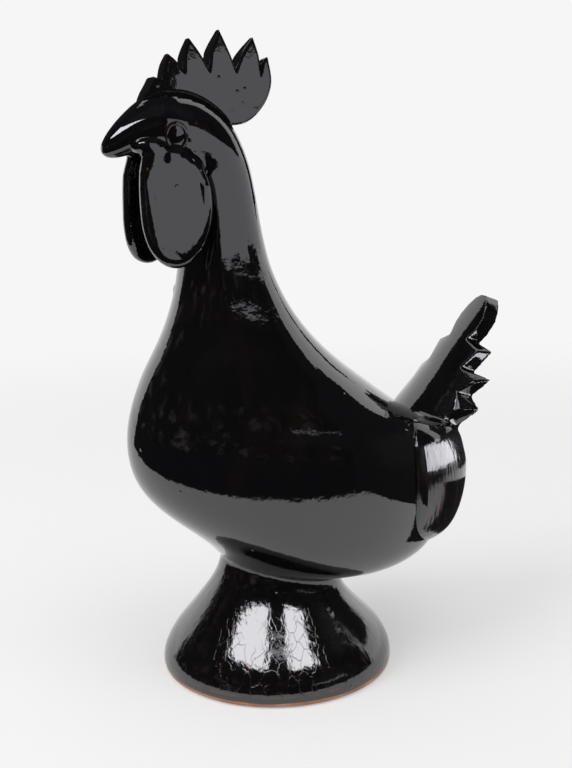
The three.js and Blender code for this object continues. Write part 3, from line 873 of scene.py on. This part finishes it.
def clayGroup():
    # fired red clay: sandy grain, wheel lines and paler bloom
    group, b, given, put = newGroup("redClaySurface", [("Vector", "Vector", None)],
                                    [("Color", "Color"), ("Height", "Float")])
    spot = given.outputs["Vector"]
    grain, cloud = b.noise(spot, 900.0, 4.0), b.noise(spot, 60.0, 4.0)
    rings = b.noise(b.stretched(spot, 0.05, 0.05, 1), 420.0)
    color = b.mix(b.step(cloud, 0.3, 0.7), (0.42, 0.175, 0.095, 1), (0.6, 0.31, 0.19, 1))
    color = b.mix(b.step(grain, 0.62, 0.72, 0.0, 0.6), color, (0.72, 0.5, 0.36, 1))
    color = b.mix(b.step(grain, 0.36, 0.28, 0.0, 0.5), color, (0.2, 0.07, 0.04, 1))
    b.feed(put, {"Color": color, "Height": b.plus(b.times(grain, 0.6), b.times(rings, 2.0))})
    return group


glazeSurface, claySurface = glazeGroup(), clayGroup()
glazeLook = {"ior": 1.8, "depth": 0.0001, "ripple": 1.0, "pits": 1.0, "edges": (0.515, 0.56), "streakEnd": 8}
# the glaze crazed most round one spot, and above the foot it ends in a wavy line
crackleLook = {"spot": (48, -28, 24), "reach": (24, 36), "elsewhere": 0.25}
footLook = {"line": 2.9, "wave": 2.6, "soft": 0.35}


def finish(name, glazeLine=False, crackle=0.0, streaks=0.0, streaksUpTo=0.0):
    material, b, shader = newMaterial(name)
    spot = b.node("TexCoord").outputs["Object"]
    up = b.node("SeparateXYZ", {0: spot}).outputs[2]
    if crackle:
        off = b.node("VectorMath", {0: spot, 1: place(*crackleLook["spot"])}, operation="DISTANCE")
        near, far = (reach * mm for reach in crackleLook["reach"])
        crackle = b.step(off.outputs["Value"], near, far, crackle, crackle * crackleLook["elsewhere"])
    if streaksUpTo:
        streaks = b.step(up, streaksUpTo * mm, (streaksUpTo + glazeLook["streakEnd"]) * mm, streaks, 0.0)
    thin = b.step(b.node("NewGeometry").outputs["Pointiness"], *glazeLook["edges"])
    glazed = b.node("Group", {"Vector": spot, "Ripple": glazeLook["ripple"], "Crackle": crackle,
                              "Streaks": streaks, "Pits": glazeLook["pits"], "Thin": thin},
                    node_tree=glazeSurface).outputs
    fired = b.node("Group", {"Vector": spot}, node_tree=claySurface).outputs
    bare = b.node("Attribute", attribute_name="bare").outputs["Fac"]
    if glazeLine:
        wave = b.times(b.math("SUBTRACT", b.noise(spot, 26.0), 0.5), footLook["wave"])
        over = b.math("SUBTRACT", b.plus(wave, footLook["line"]), b.times(up, 1000))
        bare = b.math("MAXIMUM", bare, b.step(over, -footLook["soft"], footLook["soft"]))
    height = b.plus(b.times(glazed["Height"], b.math("SUBTRACT", 1.0, bare)), b.times(fired["Height"], bare))
    bump = b.node("Bump", {"Distance": glazeLook["depth"], "Height": height})
    b.feed(shader, {"Base Color": b.mix(bare, glazed["Color"], fired["Color"]), "IOR": glazeLook["ior"],
                    "Roughness": b.plus(glazed["Roughness"], b.times(bare, 0.8)),
                    "Normal": bump.outputs["Normal"]})
    return material


blackGlaze, footFinish = finish("blackGlaze"), finish("footGlazeAndClay", glazeLine=True)
crackledGlaze = finish("crackledGlaze", crackle=1.0, streaks=0.3)
combedGlaze = finish("combedGlaze", crackle=0.4, streaks=1.0, streaksUpTo=122)
looks = {"foot_ring": footFinish, "pedestal": crackledGlaze, "tail": combedGlaze}
for name, piece in pieces.items():
    piece.name = name + "_look"
    piece.data.materials.clear()
    piece.data.materials.append(looks.get(name, blackGlaze))
    setFaces(piece, "material_index", 0)
    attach(piece, "root")
    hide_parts(name)


# stage: pale floor and background, soft light, and painted reflections, glowing and dark sheets that only the
# glaze mirrors
cameraSet = {"spot": (510.2, -251.4, 269.6), "azimuth": 63.0, "pitch": 11.14, "roll": -1.0, "lens": 50}
azimuth = math.radians(cameraSet["azimuth"])
toCamera = Vector((math.sin(azimuth), -math.cos(azimuth), 0))
toRight = Vector((math.cos(azimuth), math.sin(azimuth), 0))


def addCamera():
    pitch, roll = math.radians(cameraSet["pitch"]), math.radians(cameraSet["roll"])
    look = toCamera * -math.cos(pitch) - Vector((0, 0, math.sin(pitch)))
    up = toRight.cross(look)
    right = toRight * math.cos(roll) + up * math.sin(roll)
    up = up * math.cos(roll) - toRight * math.sin(roll)
    data = bpy.data.cameras.new("camera")
    data.lens, data.sensor_width, data.sensor_fit = cameraSet["lens"], 36, "AUTO"
    camera = toScene(bpy.data.objects.new("camera", data))
    turn = Matrix((right, up, -look)).transposed().to_4x4()
    camera.matrix_world = Matrix.Translation(place(*cameraSet["spot"])) @ turn
    bpy.context.scene.camera = camera


addCamera()


def around(side, radius, level):
    # a point round the wheel's axis: degrees to the right of the camera, metres out, metres up
    turn = math.radians(side)
    return Vector((0, axisY, level)) + (toCamera * math.cos(turn) + toRight * math.sin(turn)) * radius


def onlyFor(b, *kinds):
    # 1 where the ray is one of these kinds
    path = b.node("LightPath").outputs
    return b.math("MAXIMUM", *(path[kind] for kind in kinds))


# what the camera sees and what the glaze mirrors, near the bird and from fadeTo outwards
floorSet = {"radius": 6.0, "color": 0.8, "seen": 0.92, "fill": 0.31, "mirrored": 0.4,
            "fadeFrom": 0.35, "fadeTo": 1.2}
worldSet = {"light": 0.5, "seen": 0.92, "mirrored": 1.2}


def addFloor():
    # near the bird it takes light and shadow, further out it turns into the background's own white
    f = floorSet
    deselectAll()
    bpy.ops.mesh.primitive_circle_add(vertices=64, radius=f["radius"], fill_type="NGON", location=(0, 0, 0))
    floor = bpy.context.object
    floor.name = "floor"
    material, b, shader = newMaterial("paleFloor")
    out = b.node("VectorMath", {0: b.node("TexCoord").outputs["Object"]}, operation="LENGTH").outputs["Value"]
    color, seen, mirrored = (b.step(out, f["fadeFrom"], f["fadeTo"], near, far) for near, far in
                             ((f["color"], 0), (f["fill"], f["seen"]), (f["mirrored"], 1.0)))
    shown = b.math("MAXIMUM", b.times(seen, onlyFor(b, "Is Camera Ray")),
                   b.times(mirrored, onlyFor(b, "Is Glossy Ray", "Is Transmission Ray")))
    b.feed(shader, {"Base Color": color, "Roughness": 1, "Specular IOR Level": 0,
                    "Emission Color": (1, 1, 1, 1), "Emission Strength": shown})
    floor.data.materials.append(material)


def addWorld():
    world = bpy.data.worlds.new("studio")
    bpy.context.scene.world = world
    world.use_nodes = True
    b = Bench(world.node_tree)
    seen = b.step(onlyFor(b, "Is Camera Ray"), 0, 1, worldSet["light"], worldSet["seen"])
    mirrored = b.step(onlyFor(b, "Is Glossy Ray", "Is Transmission Ray"), 0, 1, 0, worldSet["mirrored"])
    b.feed(b.nodes["Background"], {"Color": (1, 1, 1, 1), "Strength": b.math("MAXIMUM", seen, mirrored)})


addFloor()
addWorld()


def addPaintedReflection(name, rings, strength):
    # a painted reflection: a glowing sheet that only the glaze's reflections see, bright for cards and
    # softboxes, dark for the black flags; rows of points, each row the same length
    piece = startPiece(name)
    bpy.ops.mesh.primitive_grid_add(x_subdivisions=len(rings[0]) - 1, y_subdivisions=len(rings) - 1, size=1)
    mesh = bmesh.from_edit_mesh(piece.data)
    mesh.verts.ensure_lookup_table()
    for i, vertex in enumerate(mesh.verts):
        vertex.co = rings[i // len(rings[0])][i % len(rings[0])]
    bmesh.update_edit_mesh(piece.data)
    setMode("OBJECT")
    material, b, shader = newMaterial(name)
    # the glow is painted light: it lights nothing, and only the glaze's reflections show it
    b.feed(shader, {"Base Color": (0, 0, 0, 1), "Roughness": 1, "Specular IOR Level": 0,
                    "Emission Color": (0.965, 0.95, 1, 1), "Emission Strength": strength})
    piece.data.materials.append(material)
    piece.visible_camera = piece.visible_diffuse = piece.visible_shadow = piece.visible_transmission = False
    return piece


def spread(low, high, steps):
    return [low + (high - low) * i / steps for i in range(steps + 1)]


def dome(name, sides, lifts, radius, strength):
    rise = [math.radians(lift) for lift in spread(*lifts, 12)]
    return addPaintedReflection(name, [[around(side, radius * math.cos(lift), roomSet["eye"] + radius * math.sin(lift))
                               for side in spread(*sides, 24)] for lift in rise], strength)


roomSet = {"radius": 2.2, "eye": 0.14, "left": -120, "right": 105, "shade": 0.02, "dim": 0.2,
           "clothReach": 268, "clothMiddle": 90, "clothBend": 0.00125}


def clothReflectionPoint(side, share):
    # the painted reflection of a dark cloth on the table begins behind a curved edge and ends at the room's
    # wall
    r = roomSet
    edge = 0.05
    while edge < r["radius"]:
        spot = around(side, edge, 0) - Vector((0, axisY, 0))
        right, near = spot.dot(toRight) / mm, spot.dot(toCamera) / mm
        if near > r["clothReach"] - r["clothBend"] * (right - r["clothMiddle"]) ** 2:
            break
        edge += 0.01
    return around(side, edge + (r["radius"] - edge) * share, 0.002)


def paintFurnitureReflections(piece):
    # painted reflection: faint warm patches for furniture and shelves that hardly show in the dark room, on
    # the dark sheet that only the glaze sees
    tree = piece.data.materials[0].node_tree
    b = Bench(tree)
    spot = b.node("TexCoord").outputs["Object"]
    shape = b.step(b.noise(b.stretched(spot, 1, 1, 1.6), 2.6, 4.0, 0.6), 0.52, 0.72)
    level = b.node("SeparateXYZ", {0: spot}).outputs[2]
    band = b.times(b.step(level, -0.3, 0.1), b.step(level, 0.7, 1.3, 1.0, 0.0))
    b.feed(tree.nodes["Principled BSDF"], {
        "Emission Strength": b.plus(roomSet["shade"], b.times(shape, band, roomSet["dim"])),
        "Emission Color": (1.0, 0.9, 0.8, 1)})


room = roomSet["left"], roomSet["right"]
# painted reflection of the dark room on the camera's side: a dome that only the glaze sees
paintFurnitureReflections(dome("darkRoomReflection", room, (-4, 88), roomSet["radius"], roomSet["shade"]))
# painted reflection: a dark sheet on the table that only the glaze sees
addPaintedReflection("darkClothReflection", [[clothReflectionPoint(side, share) for side in spread(*room, 60)] for share in (0, 1)],
            roomSet["shade"])
# painted highlights: glowing domes that only the glaze sees, in place of softboxes; they light nothing, the
# lamps below light the scene
softboxReflections = {"softboxReflectionLeft": ((-66, -13), (39, 78), 9.0), "softboxReflectionRight": ((16, 51), (39, 78), 9.0),
             "softboxReflectionGap": ((-13, 16), (52, 78), 2.3)}
for name, (sides, lifts, strength) in softboxReflections.items():
    dome(name, sides, lifts, roomSet["radius"] - 0.1, strength)

# painted reflections: a glowing white card close to the camera's side of the head, seen only by the glaze,
# paints neck, cheeks and comb grey, and black sheets above it and in front of the comb paint the crown and
# the comb's edges dark, keeping the lights out of them
cardSet = {"radius": 110, "left": -24, "right": 122, "high": 305, "highLeft": 322, "gap": (22, 62),
           "gapTop": 360, "leftUpTo": -2, "shadeLeft": 328, "shadeLeftUpTo": -20,
           # side and level of the lower edge
           "low": [(-24, 240), (-9, 240), (-8, 241), (0, 243.5), (12, 246), (35, 252.5), (60, 257.5),
                   (122, 246)]}
# how brightly the painted reflection sheets glow: white cards, black flags, and the bright sheet behind the
# tail
glow = {"card": 0.97, "flag": 0.03, "tailCard": 6.0}


def cardLow(side):
    return float(np.interp(side, *zip(*cardSet["low"])))


def cardHigh(side):
    return cardSet["highLeft"] if side < cardSet["leftUpTo"] else cardSet["high"]


def shadeLow(side):
    # the comb looks through a gap between card and shade at another card far away
    left, right = cardSet["gap"]
    if left < side < right:
        return cardSet["gapTop"]
    return max(cardHigh(side), cardSet["shadeLeft"] if side < cardSet["shadeLeftUpTo"] else 0)


def upright(name, left, right, steps, low, high, radius, strength):
    # low and high are levels, or functions of the side
    rings = [[around(side, radius * mm, (level(side) if callable(level) else level) * mm)
              for side in spread(left, right, steps)] for level in (low, high)]
    addPaintedReflection(name, rings, strength)


beside = cardSet["radius"]
upright("headCard", cardSet["left"], cardSet["right"], 110, cardLow, cardHigh, beside, glow["card"])
upright("crownShade", -75, 105, 120, shadeLow, 900, beside + 2, glow["flag"])
upright("torsoShade", 30, 74, 16, 200, 328, 700, glow["flag"])
upright("combCard", 36, 68, 16, 350, 570, 1500, glow["card"])
upright("combShade", -165, -72, 40, 300, 420, beside + 30, glow["flag"])

# painted reflections: flat glowing and black sheets by the wheel's axis, seen only by the glaze: two corners,
# and how far off the opposite edge lies
sheets = {
    "crownRoof": ((-140, -128, 500), (70, -128, 500), (0, 122, 0)),
    "tailCard": ((114.34, 112.22, 110), (22.34, 151.22, 110), (0, 0, 44)),
    "tailShade": ((58.12, 94.81, 44), (5.68, 117.04, 44), (0, 0, 55)),
    "rumpShade": ((-100, 140, 268), (-100, 330, 268), (0, 0, 252)),
    "toothUnder": ((20, 116, 143), (62, 116, 143), (0, 34, 0)),
    "tailUnder": ((54, 56, 106), (125, 56, 106), (0, 62, 0)),
    "flankShade": ((46, 66, 92), (120, 66, 92), (0, 0, 118)),
    "toothShade": ((-50, 127, 100), (42, 127, 100), (0, 0, 40)),
    "toothSlope": ((-50, 125, 131), (42, 125, 131), (0, 65.12, 74)),
    "fanShade": ((90.95, 87.25, 185), (63.05, 172.75, 185), (0, 0, 160)),
}
for name, (one, two, rise) in sheets.items():
    rings = [[place(*np.add(corner, share)) for corner in (one, two)] for share in ((0, 0, 0), rise)]
    addPaintedReflection(name, rings, glow.get(name, glow["flag"]))


def addLamp(name, side, lift, distance, size, power):
    data = bpy.data.lights.new(name, "AREA")
    data.shape, data.size, data.energy = "DISK", size, power
    lamp = toScene(bpy.data.objects.new(name, data))
    rise = math.radians(lift)
    spot = around(side, distance * math.cos(rise), 0.15 + distance * math.sin(rise))
    back = (spot - Vector((0, axisY, 0.15))).normalized()
    lamp.matrix_world = Matrix.Translation(spot) @ back.to_track_quat("Z", "Y").to_matrix().to_4x4()
    lamp.visible_glossy = False


addLamp("lampLeft", -55, 42, 1.8, 1.2, 10)
addLamp("lampRight", 40, 60, 1.8, 1.2, 4)
bpy.context.scene.view_settings.view_transform = "Standard"
